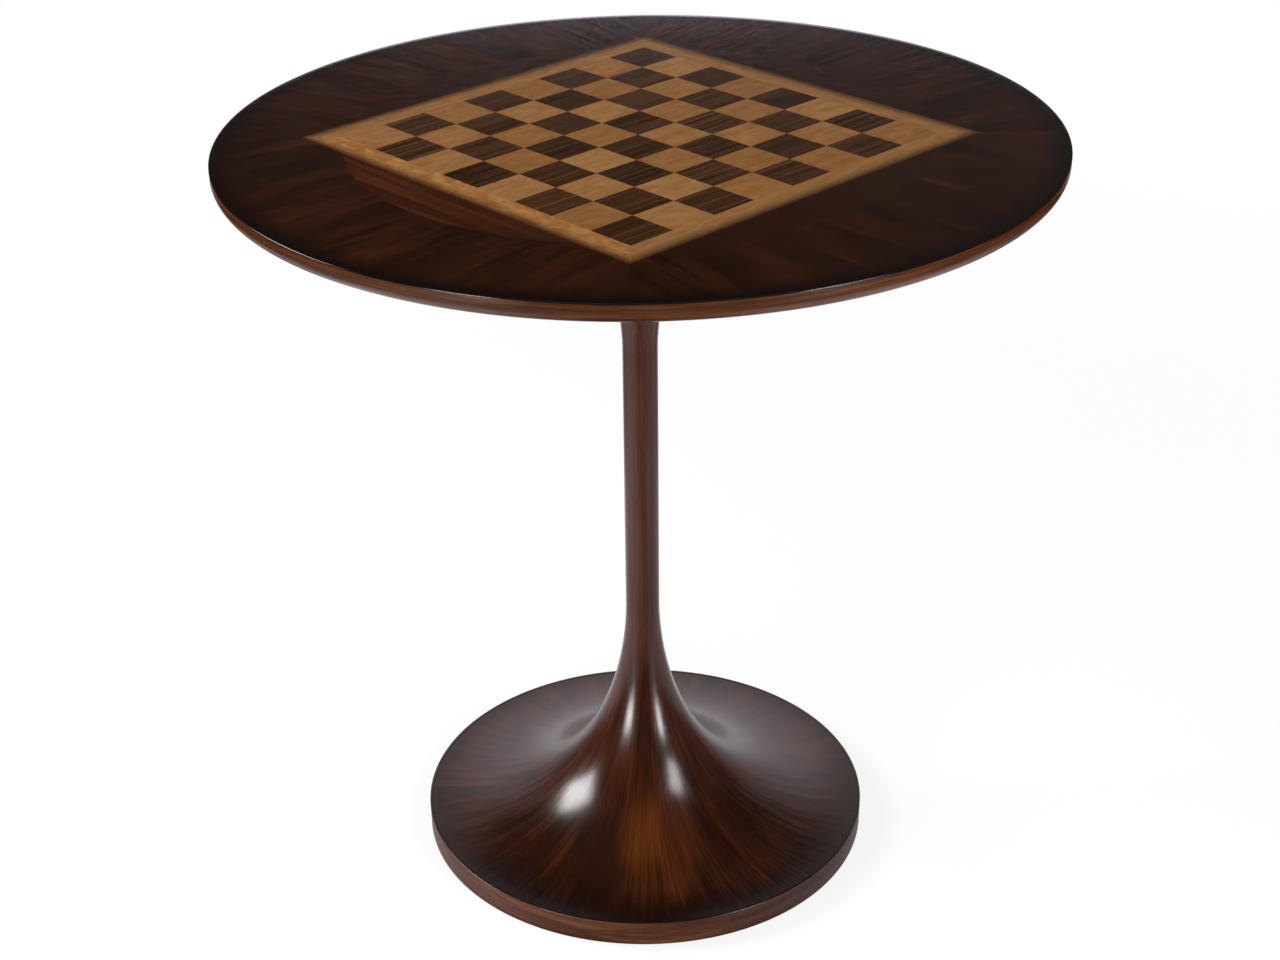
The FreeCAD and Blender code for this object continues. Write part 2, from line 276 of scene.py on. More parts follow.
def squares_body(shade):
    """Grid of one square, eased at its edge, added to the corners of all squares of one shade."""
    file, rank = np.divmod(np.arange(64), 8)
    mine = (file + rank) % 2 == shade
    corner = np.stack([file[mine], rank[mine]], -1) * PITCH - BOARD_HALF + JOINT / 2
    side = PITCH - JOINT
    step = np.array([0, EASE, side / 2, side - EASE, side])
    x, y = np.meshgrid(step, step, indexing="ij")
    low = (np.minimum(x, side - x) == 0) | (np.minimum(y, side - y) == 0)
    face, faces = slab(np.stack([x, y, FACE_TOP - EASE * low], -1), np.stack([x, y, 0 * x + FACE_LOW], -1))
    points = face + np.pad(corner, ((0, 0), (0, 1)))[:, None, :]
    faces = faces + len(face) * np.arange(len(corner))[:, None, None]
    return points.reshape(-1, 3), faces.reshape(-1, 4)


dark_squares = make_piece("dark_squares_veneer", squares_body(0), ["dark_squares"])
light_squares = make_piece("light_squares_veneer", squares_body(1), ["light_squares"])
for squares in (dark_squares, light_squares):
    at = places(squares)
    cell = np.floor((at[:, :2] + BOARD_HALF) / PITCH)
    note_grain(squares, at[:, 0], at[:, 1], cell[:, 0] * 8 + cell[:, 1])
say(dark_squares, light_squares)

# %% [markdown]
# ## Turned and bent parts
# The lipping round the top, the column, the flare under the top and the band round the base are all
# bodies of revolution, so each is one closed profile carried round the axis. The lipping's face stands
# upright for a little and then curves in under the top.

# %% Lipping and band
LIPPING_BORE, UPRIGHT_FACE, UNDERCUT = 363.1 * MM, 7.5 * MM, 13 * MM
QUARTER_HANDLE = 0.5523
GLUE_LINE, BAND_ARRIS = 0.1 * MM, 0.8 * MM


def lipping_profile():
    """Inner wall, glued top, upright face and a quarter of an ellipse drawn in to the underside."""
    low, high = (corner.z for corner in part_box("edge_lipping"))
    foot, flat = FACE_TOP - UPRIGHT_FACE, TOP_RADIUS - UNDERCUT
    curve = bezier([(TOP_RADIUS, foot), (TOP_RADIUS, foot - QUARTER_HANDLE * (foot - low)),
                    (flat + QUARTER_HANDLE * (TOP_RADIUS - flat), low), (flat, low)], 15)
    return np.concatenate([[(LIPPING_BORE, low), (LIPPING_BORE, high), (TOP_RADIUS, high)], curve])


def band_profile():
    """Thin hoop with a rounded upper arris."""
    low, high = (corner.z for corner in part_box("base_band"))
    outer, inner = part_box("base_band")[1].x, DISH_RADIUS + GLUE_LINE
    arris = quarter_round(outer, high, BAND_ARRIS)
    return np.concatenate([[(inner, low), (inner, high)], arris, [(outer, low)]])


lipping = make_piece("edge_lipping_wood", turned(lipping_profile()), ["edge_lipping"])
band = make_piece("base_band_wood", turned(band_profile()), ["base_band"])
say(lipping, band)

# %% [markdown]
# ### Column and flare
# The column is a straight stem with a tenon at each end. Its flare opens to carry the top, along one
# cubic curve that leaves the stem upright and reaches the top almost level. Inside are the bore for the
# tie rod, the socket for the tenon, and the seats for the plate and the coupling, so that the mesh shows
# what the part is when it is taken out on its own.

# %% Stem and flare
BORE, TENON, SOCKET, SEAT, ROOM = (radius * MM for radius in (5.5, 10.5, 10.6, 80.5, 9.74))
TENON_LENGTH, SOCKET_DEPTH, SEAT_DEPTH, ROOM_DEPTH, LIP = (depth * MM for depth in (30, 30.6, 5, 35.5, 6))
FLARE_HANDLE = (26.858 * MM, 706 * MM)
STEM_HANDLE = 566.06 * MM
STEM_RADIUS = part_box("column_stem")[1].x


def stem_profile():
    """Stem with two tenons, and the bore through it."""
    low, high = (corner.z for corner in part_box("column_stem"))
    face = np.linspace(low + TENON_LENGTH, high - TENON_LENGTH, 25)
    side = np.stack([np.full_like(face, STEM_RADIUS), face], -1)
    return np.concatenate([[(BORE, low), (TENON, low), (TENON, low + TENON_LENGTH)], side,
                           [(TENON, high - TENON_LENGTH), (TENON, high), (BORE, high)]])


def flare_profile():
    """Cubic from stem to lip, then the lip, the plate's seat, the coupling's room, the bore, the socket."""
    low, high = (corner.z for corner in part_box("upper_flare"))
    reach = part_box("upper_flare")[1].x
    seat, room, socket = high - SEAT_DEPTH, high - ROOM_DEPTH, low + SOCKET_DEPTH
    curve = bezier([(STEM_RADIUS, low), (STEM_RADIUS, STEM_HANDLE), FLARE_HANDLE, (reach, high - LIP)], 61)
    inside = [(reach, high), (SEAT, high), (SEAT, seat), (ROOM, seat), (ROOM, room), (BORE, room),
              (BORE, socket), (SOCKET, socket), (SOCKET, low)]
    return np.concatenate([curve, inside])


stem = make_piece("column_stem_wood", turned(stem_profile(), 144), ["column_stem"])
flare = make_piece("upper_flare_wood", turned(flare_profile(), 240), ["upper_flare"])
say(stem, flare)

# %% [markdown]
# ### Leaves of the trumpet
# The base sweeps from the column to the rim in one curve, and its fibres run down it like spokes. Wood
# doesn't grow so, and sixteen tapered leaves cover the core instead. A leaf is a slab on a grid of angle
# and distance down the curve, between the outer curve and one set in by its thickness.

# %% Lay the leaves
LEAVES = 16
TRUMPET = np.array([(17, 260), (17, 214.234), (29.386, 13.9), (228, 26.5)]) * MM
LEAF_BACK = np.array([(16.1, 260), (16.1, 214.234), (28.486, 13.0), (228, 25.6)]) * MM


def leaf_body(number):
    """Slab between two cubics turned through one sixteenth: x = r cos a, y = r sin a, z from the cubic."""
    angle = 2 * np.pi * (number + np.linspace(0, 1, 41)[:, None]) / LEAVES
    sheets = []
    for poles in (TRUMPET, LEAF_BACK):
        radius, height = bezier(poles, 81).T
        sheets.append(np.stack([radius * np.cos(angle), radius * np.sin(angle), height + 0 * angle], -1))
    return slab(*sheets)


leaves = [make_piece("trumpet_leaf_%02d" % (number + 1), leaf_body(number),
                     ["trumpet_gore_%02d" % (number + 1)]) for number in range(LEAVES)]
say(leaves[0], leaves[-1])

# %% [markdown]
# ## Tools for the finishes
# Colours are written as they look on a screen, in hex, and Blender wants them linear, so one function
# turns them. Another fills the inputs of a node, with a plain value or with a link where a node or socket
# is given, and a third adds a node with its settings and inputs. All finishes are plain use of these.

# %% Colours and nodes
def colour(hex_text):
    """Screen value c from 0 to 1 turned linear: c / 12.92 below 0.04045, else ((c + 0.055) / 1.055) ^ 2.4."""
    screen = np.array([int(hex_text[i:i + 2], 16) for i in (1, 3, 5)]) / 255
    linear = np.where(screen <= 0.04045, screen / 12.92, ((screen + 0.055) / 1.055) ** 2.4)
    return (*linear.tolist(), 1.0)


def join(tree, node, inputs):
    """Inputs by name or number: linked where a node or a socket is given, else set to the value."""
    for name, value in inputs.items():
        value = value.outputs[0] if isinstance(value, bpy.types.Node) else value
        if isinstance(value, bpy.types.NodeSocket):
            tree.links.new(value, node.inputs[name])
        else:
            node.inputs[name].default_value = value


def add(tree, kind, inputs=None, ramp=None, **settings):
    """One node with its settings, its inputs or links, and its colour stops if it is a ramp."""
    node = tree.nodes.new("ShaderNode" + kind)
    for name, value in settings.items():
        setattr(node, name, value)
    join(tree, node, inputs or {})
    for number, (position, tone) in enumerate(ramp or []):
        stops = node.color_ramp.elements
        stop = stops[number] if number < len(stops) else stops.new(position)
        stop.position, stop.color = position, colour(tone)
    return node


def new_material(name):
    """An empty node material and its tree, with the shader and the output joined."""
    material = bpy.data.materials.new(name)
    material.use_nodes = True
    tree = material.node_tree
    tree.nodes.clear()
    shader = add(tree, "BsdfPrincipled")
    add(tree, "OutputMaterial", {"Surface": shader})
    return material, tree, shader


def dress(material, *pieces):
    """One material on all the pieces, in place of what they had."""
    for piece in pieces:
        piece.data.materials.clear()
        piece.data.materials.append(material)
    print(material.name, "on", len(pieces), "pieces,", len(material.node_tree.nodes), "nodes")


print("middle grey on a screen is", round(colour("#808080")[0], 3), "linear")

# %% [markdown]
# ## Walnut
# Under its lacquer walnut shows three things: broad bands where the leaf was cut through lighter and
# darker growth, fine lines along the fibres, and open pores, short dark dashes that dent the finish.
# Each is one noise, stretched along the fibres by giving its size in millimetres for each direction.
# Real pores are 0.2 mm wide. At the size of this picture they would vanish, so they are drawn coarser.

# %% The figure of walnut
def figure_layer(tree, place, sizes_mm, detail, roughness=0.5, twist=0.0):
    """One layer of figure, its size in millimetres along each axis: a noise on the place over the sizes."""
    scale = [1 / (size * MM) for size in sizes_mm]
    scaled = add(tree, "VectorMath", {0: place, 1: scale}, operation="MULTIPLY")
    return add(tree, "TexNoise", {"Vector": scaled, "Scale": 1.0, "Detail": detail,
                                  "Roughness": roughness, "Distortion": twist})


def walnut_figure(tree, place, band_mm, line_mm, pore_mm, tones, line_share=0.35, pore_depth=0.4):
    """Bands and lines mixed into one tone that a ramp colours, with pores over it; returns all three."""
    bands = figure_layer(tree, place, band_mm, 2.0, 0.55, 0.4)
    lines = figure_layer(tree, place, line_mm, 3.0, 0.55, 0.15)
    dashes = figure_layer(tree, place, pore_mm, 1.0, 0.55)
    tone = add(tree, "Mix", {0: line_share, 2: bands, 3: lines}, data_type="FLOAT")
    ground = add(tree, "ValToRGB", {"Fac": tone}, ramp=tones)
    pores = add(tree, "MapRange", {"Value": dashes, "From Min": 0.58, "From Max": 0.70})
    depth = add(tree, "Math", {0: pores, 1: pore_depth}, operation="MULTIPLY")
    shown = add(tree, "Mix", {0: depth, 6: ground, 7: colour("#120805")}, data_type="RGBA")
    return shown.outputs[2], pores.outputs[0], lines.outputs[0]


def lacquer(tree, shader, shown, pores, lines, roughness, dent_mm=0.02):
    """Satin lacquer: clear, IOR 1.5, a little rougher along the lines, and dented where pores are open."""
    sheen = add(tree, "MapRange", {"Value": lines, "From Min": 0.3, "From Max": 0.7,
                                   "To Min": roughness - 0.03, "To Max": roughness + 0.04})
    relief = add(tree, "Mix", {0: 0.3, 2: pores, 3: lines}, data_type="FLOAT")
    dents = add(tree, "Bump", {"Height": relief, "Strength": 1.0, "Distance": dent_mm * MM}, invert=True)
    join(tree, shader, {"Base Color": shown, "Roughness": sheen, "Normal": dents, "IOR": 1.5})

# %% [markdown]
# ### Finish of the surround
# Dark stained walnut, laid with its fibres outwards, then toned: the finisher sprays a nearly black
# burnish on the outermost two centimetres and lets it fade inwards, which makes an old looking edge.
# The eye sees a warm black brown with broad redder streaks, a black rim, and a satin skin over both. Next
# to the pale border some of its amber runs out over the dark leaf and softens the joint.

# %% Surround walnut
TOP_GLOSS = 0.13
BURNISH_START = 345 * MM
AMBER_RUN = 5 * MM
EASED = {"interpolation_type": "SMOOTHSTEP"}


def leaf_grain(tree, stride):
    """The grain attribute, and the same with the leaf's number spread by a stride so that leaves differ."""
    grain = add(tree, "Attribute", attribute_name="grain").outputs["Vector"]
    return grain, add(tree, "VectorMath", {0: grain, 1: (1, 1, stride)}, operation="MULTIPLY")


def radius_at(tree):
    """Distance from the table's axis, as a socket."""
    where = add(tree, "TexCoord").outputs["Object"]
    flat = add(tree, "VectorMath", {0: where, 1: (1, 1, 0)}, operation="MULTIPLY")
    return add(tree, "VectorMath", {0: flat}, operation="LENGTH").outputs["Value"]


def feathered(tree, beside, shown):
    """The border's amber over the first millimetres of a dark veneer, by the distance beside the border."""
    amber = add(tree, "MapRange", {"Value": beside, "From Min": AMBER_RUN, "From Max": 0.0,
                                   "To Max": 0.32}, **EASED)
    return add(tree, "Mix", {0: amber, 6: shown, 7: colour("#8b5f36")}, data_type="RGBA").outputs[2]


surround_walnut, tree, shader = new_material("stained_walnut_surround")
grain, leaf_shift = leaf_grain(tree, 2.6)
shown, pores, lines = walnut_figure(tree, leaf_shift, (150, 30, 1000), (90, 1.9, 1000), (14, 1.2, 1000),
                                    [(0.38, "#1b0d06"), (0.48, "#271308"),
                                     (0.56, "#31170a"), (0.68, "#3d1d0b")], 0.4, 0.5)
rim = add(tree, "MapRange", {"Value": radius_at(tree), "From Min": BURNISH_START,
                             "From Max": TOP_RADIUS}, **EASED)
burnt = add(tree, "Mix", {0: rim, 6: shown, 7: colour("#150c09")}, data_type="RGBA")
beside = add(tree, "SeparateXYZ", {0: grain}).outputs["X"]
lacquer(tree, shader, feathered(tree, beside, burnt.outputs[2]), pores, lines, TOP_GLOSS)
dress(surround_walnut, *surrounds)

# %% [markdown]
# ### Finish of the segments
# The segments are redder and their straight fibres lie along the board's edge. Three of them are drawn
# darker, nearly as dark as the surround, and nearly vanish in it. One leaf is drawn lighter, most of all in
# its middle, and only there does the inlaid arc stand out. The leaves are numbered from 0 at the front to 3
# on the left, so that one is picked by a number between 2 and 3.

# %% Segment walnut
LAST_LEAF = 2.5
segment_walnut, tree, shader = new_material("red_brown_walnut_segment")
grain, leaf_shift = leaf_grain(tree, 5.3)
shown, pores, lines = walnut_figure(tree, leaf_shift, (260, 12, 1000), (160, 1.7, 1000), (16, 1.1, 1000),
                                    [(0.36, "#2e1306"), (0.50, "#3d1c0a"), (0.64, "#502910")], 0.5)
place = add(tree, "SeparateXYZ", {0: grain})
off = add(tree, "Math", {0: place.outputs["X"], 1: 0.03}, operation="ADD")
ends = add(tree, "MapRange", {"Value": add(tree, "Math", {0: off}, operation="ABSOLUTE"),
                              "From Min": 0.06, "From Max": 0.16, "To Max": 0.55})
dull = add(tree, "Math", {0: place.outputs["Z"], 1: LAST_LEAF}, operation="LESS_THAN")
shade = add(tree, "Mix", {0: dull, 2: ends, 3: 0.85}, data_type="FLOAT")
toned = add(tree, "Mix", {0: shade, 6: shown, 7: colour("#25130a")}, data_type="RGBA")
lacquer(tree, shader, feathered(tree, place.outputs["Y"], toned.outputs[2]), pores, lines, TOP_GLOSS)
dress(segment_walnut, *segments)

# %% [markdown]
# ### Finish of the dark squares
# Straight-grained walnut, all cut from one run of leaves, so the stripes lie the same way in every
# square, but each square has its own tone. White noise on the square's number gives that.

# %% Square walnut
square_walnut, tree, shader = new_material("straight_grained_walnut_squares")
grain, leaf_shift = leaf_grain(tree, 7.9)
shown, pores, lines = walnut_figure(tree, leaf_shift, (260, 3.2, 1000), (110, 1.4, 1000), (12, 1.1, 1000),
                                    [(0.37, "#261508"), (0.50, "#3c2412"), (0.63, "#573920")], 0.5)
number = add(tree, "SeparateXYZ", {0: grain}).outputs["Z"]
lot = add(tree, "TexWhiteNoise", {"W": number}, noise_dimensions="1D").outputs["Value"]
level = add(tree, "MapRange", {"Value": lot, "To Min": 0.76, "To Max": 1.26})
toned = add(tree, "VectorMath", {0: shown, "Scale": level}, operation="SCALE")
lacquer(tree, shader, toned, pores, lines, TOP_GLOSS)
dress(square_walnut, dark_squares)

# %% [markdown]
# ## Sycamore
# The pale squares and the border are sycamore under an amber lacquer. Its pores are too small to see,
# and what shows is a cloudy mottle some millimetres wide, faint fibres, and leaves of unlike tone. On
# the border the toner of the surround runs over the outer few millimetres and blurs its edge.

# %% Sycamore of the squares
def sycamore_figure(tree, grain, mottle_mm, fibre_mm, tones):
    """Cloudy mottle and faint fibres mixed into one tone that a ramp colours; returns colour and fibres."""
    mottle = figure_layer(tree, grain, mottle_mm, 3.0, 0.6, 0.3)
    fibres = figure_layer(tree, grain, fibre_mm, 2.0, 0.6, 0.3)
    tone = add(tree, "Mix", {0: 0.35, 2: mottle, 3: fibres}, data_type="FLOAT")
    return add(tree, "ValToRGB", {"Fac": tone}, ramp=tones), fibres


square_sycamore, tree, shader = new_material("amber_sycamore_squares")
grain, leaf_shift = leaf_grain(tree, 11.3)
PALE = [(0.36, "#805732"), (0.50, "#8b6239"), (0.64, "#966c42")]
shown, fibres = sycamore_figure(tree, leaf_shift, (22, 9, 1000), (40, 1.6, 1000), PALE)
number = add(tree, "SeparateXYZ", {0: grain}).outputs["Z"]
lot = add(tree, "TexWhiteNoise", {"W": number}, noise_dimensions="1D")
level = add(tree, "MapRange", {"Value": lot.outputs["Value"], "To Min": 0.81, "To Max": 1.21})
warmth = add(tree, "SeparateColor", {"Color": lot.outputs["Color"]})
tint = add(tree, "Mix", {0: warmth, 6: (1.05, 0.97, 0.86, 1), 7: (0.97, 1.02, 1.08, 1)}, data_type="RGBA")
tinted = add(tree, "VectorMath", {0: shown, 1: tint.outputs[2]}, operation="MULTIPLY")
toned = add(tree, "VectorMath", {0: tinted, "Scale": level}, operation="SCALE")
lacquer(tree, shader, toned, fibres, fibres, TOP_GLOSS, 0.008)
dress(square_sycamore, light_squares)

# %% [markdown]
# The border strips are cut from the same wood. One of them, on the left, was a warmer and more rippled
# leaf, so a second figure is drawn for it and picked by the leaf's number.

# %% Sycamore of the border
border_sycamore, tree, shader = new_material("amber_sycamore_border")
grain, leaf_shift = leaf_grain(tree, 13.1)
plain, fibres = sycamore_figure(tree, leaf_shift, (26, 7, 1000), (60, 1.8, 1000), PALE)
honey, _ = sycamore_figure(tree, leaf_shift, (12, 9, 1000), (60, 1.8, 1000),
                           [(0.36, "#885629"), (0.50, "#99693a"), (0.64, "#ab7d4b")])
place = add(tree, "SeparateXYZ", {0: grain})
one_leaf = add(tree, "Math", {0: place.outputs["Z"], 1: LAST_LEAF}, operation="GREATER_THAN")
shown = add(tree, "Mix", {0: one_leaf, 6: plain, 7: honey}, data_type="RGBA")
edge = add(tree, "MapRange", {"Value": place.outputs["Y"], "From Min": 0.010, "From Max": 0.031}, **EASED)
toned = add(tree, "Mix", {0: edge, 6: shown.outputs[2], 7: colour("#29160b")}, data_type="RGBA")
lacquer(tree, shader, toned.outputs[2], fibres, fibres, TOP_GLOSS, 0.008)
dress(border_sycamore, *borders)

# %% [markdown]
# ## Solid and bent walnut
# On the column the fibres run upright, and the wood is solid, so its figure is a block that the turning
# cuts through: the noise is simply long in Z. The lipping is bent round the rim with the fibres along it,
# so there the noise is long in X and Y and thin in Z. Neither has a toner over it.

# %% Column and lipping
UPRIGHT = ((9, 9, 420), (2.4, 2.4, 160), (1.1, 1.1, 14),
           [(0.36, "#2d140d"), (0.50, "#3a1c12"), (0.64, "#4a281b")])
ROUND_THE_RIM = ((150, 150, 5), (60, 60, 1.4), (14, 14, 1.0),
                 [(0.36, "#2f170a"), (0.50, "#412311"), (0.64, "#58341c")])


def plain_walnut(name, figure, roughness, *pieces):
    """Walnut without a toner: the figure drawn on the place itself, and lacquer over it."""
    material, tree, shader = new_material(name)
    where = add(tree, "TexCoord").outputs["Object"]
    lacquer(tree, shader, *walnut_figure(tree, where, *figure), roughness)
    dress(material, *pieces)


plain_walnut("turned_walnut_column", UPRIGHT, 0.22, stem, flare)
plain_walnut("bent_walnut_lipping", ROUND_THE_RIM, 0.2, lipping)

# %% [markdown]
# The band is bent like the lipping, and the burnish of the base runs over its top, down to a given height.
# On the viewer's right it is painted greyer and darker: painted shade, which grows with the distance from the
# axis to that side.

# %% Band
BURNISH_LEVEL, BURNISH_FADE = 26.6 * MM, 0.3 * MM
TO_RIGHT, SHADE_START, SHADE_FULL = (0.723, -0.691, 0), 60 * MM, 160 * MM


def height_at(tree):
    """Height above the floor, as a socket."""
    return add(tree, "SeparateXYZ", {0: add(tree, "TexCoord").outputs["Object"]}).outputs["Z"]


band_walnut, tree, shader = new_material("bent_walnut_band")
where = add(tree, "TexCoord").outputs["Object"]
shown, pores, lines = walnut_figure(tree, where, (150, 150, 7), (60, 60, 1.6), (14, 14, 1.0),
                                    [(0.36, "#371b11"), (0.50, "#48291b"), (0.64, "#5d3825")])
across = add(tree, "VectorMath", {0: where, 1: TO_RIGHT}, operation="DOT_PRODUCT").outputs["Value"]
# Painted shade: the band turns greyer and darker towards the viewer's right.
painted_shade = add(tree, "MapRange", {"Value": across, "From Min": SHADE_START, "From Max": SHADE_FULL,
                               "To Max": 0.6})
shaded = add(tree, "Mix", {0: painted_shade, 6: shown, 7: colour("#1c1816")}, data_type="RGBA")
toner = add(tree, "MapRange", {"Value": height_at(tree), "From Min": BURNISH_LEVEL,
                               "From Max": BURNISH_LEVEL + BURNISH_FADE})
burnt = add(tree, "Mix", {0: toner, 6: shaded.outputs[2], 7: colour("#160a06")}, data_type="RGBA")
lacquer(tree, shader, burnt.outputs[2], pores, lines, 0.24)
dress(band_walnut, band)

# %% [markdown]
# ### Finish of the trumpet
# The leaves meet so closely that the eye sees one skin with fibres like spokes, so the figure is drawn
# on the direction from the axis: x and y divided by their length. That makes every line run straight
# down the curve and close up towards the column.

# %% Figure of the trumpet
REACH = 0.15
trumpet_walnut, tree, shader = new_material("radial_walnut_trumpet")
where = add(tree, "TexCoord").outputs["Object"]
flat = add(tree, "VectorMath", {0: where, 1: (1, 1, 0)}, operation="MULTIPLY")
spoke = add(tree, "VectorMath", {0: flat}, operation="NORMALIZE")
spoke = add(tree, "VectorMath", {0: spoke, "Scale": REACH}, operation="SCALE")
radius, height = radius_at(tree), height_at(tree)
down = add(tree, "Math", {0: radius, 1: height}, operation="SUBTRACT")
lift = add(tree, "CombineXYZ", {"Z": down})
place = add(tree, "VectorMath", {0: spoke, 1: lift}, operation="ADD")
shown, pores, lines = walnut_figure(tree, place, (24, 24, 260), (1.8, 1.8, 110), (1.2, 1.2, 15),
                                    [(0.34, "#270f04"), (0.50, "#371605"), (0.66, "#4b2308")], 0.48, 0.35)
print("figure of the trumpet:", len(tree.nodes), "nodes")

# %% [markdown]
# Soft dark clouds lie over the figure, drawn out along the fibres. Painted shade darkens them further on the
# two flanks of the dish, left and right as seen from the camera, and they thicken too in one wedge. That is
# set by the angle round the axis and the radius, because a noise alone would not put the darkness there.

# %% Clouds
FRONT, WEDGE = 226.4, 209


def facing(degrees):
    """Cosine of the angle between a point's spoke and a level direction, given in degrees from X."""
    level = (math.cos(math.radians(degrees)) / REACH, math.sin(math.radians(degrees)) / REACH, 0)
    return add(tree, "VectorMath", {0: spoke, 1: level}, operation="DOT_PRODUCT").outputs["Value"]


clouds = figure_layer(tree, place, (26, 26, 100), 2.0, twist=0.2)
# Painted shade: FRONT faces the camera, and the flanks to either side of it are darkened.
front = facing(FRONT)
side = add(tree, "Math", {0: front, 1: front}, operation="MULTIPLY")
flanks = add(tree, "MapRange", {"Value": side, "From Min": 0.985, "From Max": 0.86, "To Max": 0.22})
wedge = add(tree, "MapRange", {"Value": facing(WEDGE), "From Min": 0.972, "From Max": 0.997, "To Max": 0.22})
flanks = add(tree, "Math", {0: flanks, 1: wedge}, operation="ADD")
hollow = add(tree, "MapRange", {"Value": radius, "From Min": 0.06, "From Max": 0.13})
outer = add(tree, "MapRange", {"Value": radius, "From Min": 0.215, "From Max": 0.165, "To Min": 0.6})
dish = add(tree, "Math", {0: hollow, 1: outer}, operation="MINIMUM")
veil = add(tree, "Math", {0: flanks, 1: dish, 2: clouds}, operation="MULTIPLY_ADD")
veil = add(tree, "Math", {0: lines, 1: -0.22, 2: veil}, operation="MULTIPLY_ADD")
dark = add(tree, "MapRange", {"Value": veil, "From Min": 0.29, "From Max": 0.64, "To Max": 0.84})
figure_and_painted_light = add(tree, "Mix", {0: dark, 6: shown, 7: colour("#1a0702")}, data_type="RGBA")
print("with clouds:", len(tree.nodes), "nodes")

# %% [markdown]
# In front, on the side turned to the camera, a warm painted light lies over the clouds, and a fainter one
# farther round. Towards the back they give way to fine brown streaks: the wood's figure, drawn only on the
# side turned from the camera, where the dish mirrors the white wall, so that they also stand in for streaks
# in that reflection.

# %% Glow and streaks
SECOND_PAINTED_LIGHT = 246
PAINTED_LIGHT_RADIUS = 118 * MM

# Painted light: a warm glow on the side that faces the camera, and a fainter one at a second angle.
painted_light_front = add(tree, "MapRange", {"Value": front, "From Min": 0.972, "From Max": 0.9975})
beside = add(tree, "MapRange", {"Value": facing(SECOND_PAINTED_LIGHT), "From Min": 0.982, "From Max": 0.998,
                                "To Max": 0.45})
off = add(tree, "Math", {0: radius, 1: PAINTED_LIGHT_RADIUS}, operation="SUBTRACT")
belt = add(tree, "MapRange", {"Value": add(tree, "Math", {0: off}, operation="ABSOLUTE"),
                              "From Min": 0.05, "From Max": 0.01}, **EASED)
glow = add(tree, "Math", {0: painted_light_front, 1: beside}, operation="MAXIMUM")
glow = add(tree, "Math", {0: glow, 1: belt}, operation="MULTIPLY")
glow = add(tree, "Math", {0: glow, 1: lines}, operation="MULTIPLY")
figure_and_painted_light = add(tree, "Mix", {0: glow, 6: figure_and_painted_light.outputs[2], 7: colour("#582b0b")}, data_type="RGBA")
# Partly painted reflection: the wood's lighter streaks are drawn only on the side turned from the camera,
# where the dish mirrors the white wall.
streaks = figure_layer(tree, place, (7, 7, 60), 3.0, twist=0.2)
streaks = add(tree, "MapRange", {"Value": streaks, "From Min": 0.38, "From Max": 0.74, "To Max": 0.6})
behind = add(tree, "MapRange", {"Value": front, "From Min": 0.8, "From Max": 0.3})
streaks = add(tree, "Math", {0: streaks, 1: behind}, operation="MULTIPLY")
figure_and_painted_light = add(tree, "Mix", {0: streaks, 6: figure_and_painted_light.outputs[2], 7: colour("#4a281f")}, data_type="RGBA")
print("with clouds, glow and streaks:", len(tree.nodes), "nodes")

# %% [markdown]
# At the neck the figure passes into the column's, because the eye finds no joint there. Along the rim the
# same burnish as on the top was put on with a dry brush, wider in front and thinner towards the back. Its
# inner edge breaks into strokes: a noise along the spokes is added to the radius that sets the burnish.

# %% Neck and rim of the trumpet
STROKE_LENGTH_MM = 90
upright, _, _ = walnut_figure(tree, where, *UPRIGHT)
neck = add(tree, "MapRange", {"Value": height, "From Min": 0.16, "From Max": 0.25}, **EASED)
grown = add(tree, "Mix", {0: neck, 6: figure_and_painted_light.outputs[2], 7: upright}, data_type="RGBA")
brushed = add(tree, "Math", {0: front, 1: 0.012, 2: radius}, operation="MULTIPLY_ADD")
for wide_mm, reach in ((2.6, 0.04), (8, 0.05)):
    strokes = figure_layer(tree, place, (wide_mm, wide_mm, STROKE_LENGTH_MM), 1.0)
    brushed = add(tree, "Math", {0: strokes, 1: reach, 2: brushed}, operation="MULTIPLY_ADD")
rim = add(tree, "MapRange", {"Value": brushed, "From Min": 0.224, "From Max": 0.274}, **EASED)
thin = add(tree, "MapRange", {"Value": front, "From Min": 0.2, "From Max": 0.8, "To Min": 0.6})
rim = add(tree, "Math", {0: rim, 1: thin}, operation="MULTIPLY")
burnt = add(tree, "Mix", {0: rim, 6: grown.outputs[2], 7: colour("#170804")}, data_type="RGBA")
lacquer(tree, shader, burnt.outputs[2], pores, lines, 0.20, 0.015)
dress(trumpet_walnut, *leaves)

# %% [markdown]
# ## What the veneers hide
# The parts that don't show are the CAD solids themselves. They still get real finishes, because anyone
# may take the table apart. Under the top lies a plain sealed veneer that keeps it from warping.

# %% Backing veneer
ALONG_X = ((300, 30, 1000), (150, 2.4, 1000), (14, 1.1, 1000),
           [(0.30, "#2e1b10"), (0.50, "#47301f"), (0.70, "#614430")])
plain_walnut("sealed_walnut_backing", ALONG_X, 0.5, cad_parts["backing_veneer"])

# %% [markdown]
# Raw boards, a painted casting, plated steel, brass and nylon differ in colour, gloss and the size of
# their mottle, so one recipe serves all: a noise between two tones that also roughens and dents a little.

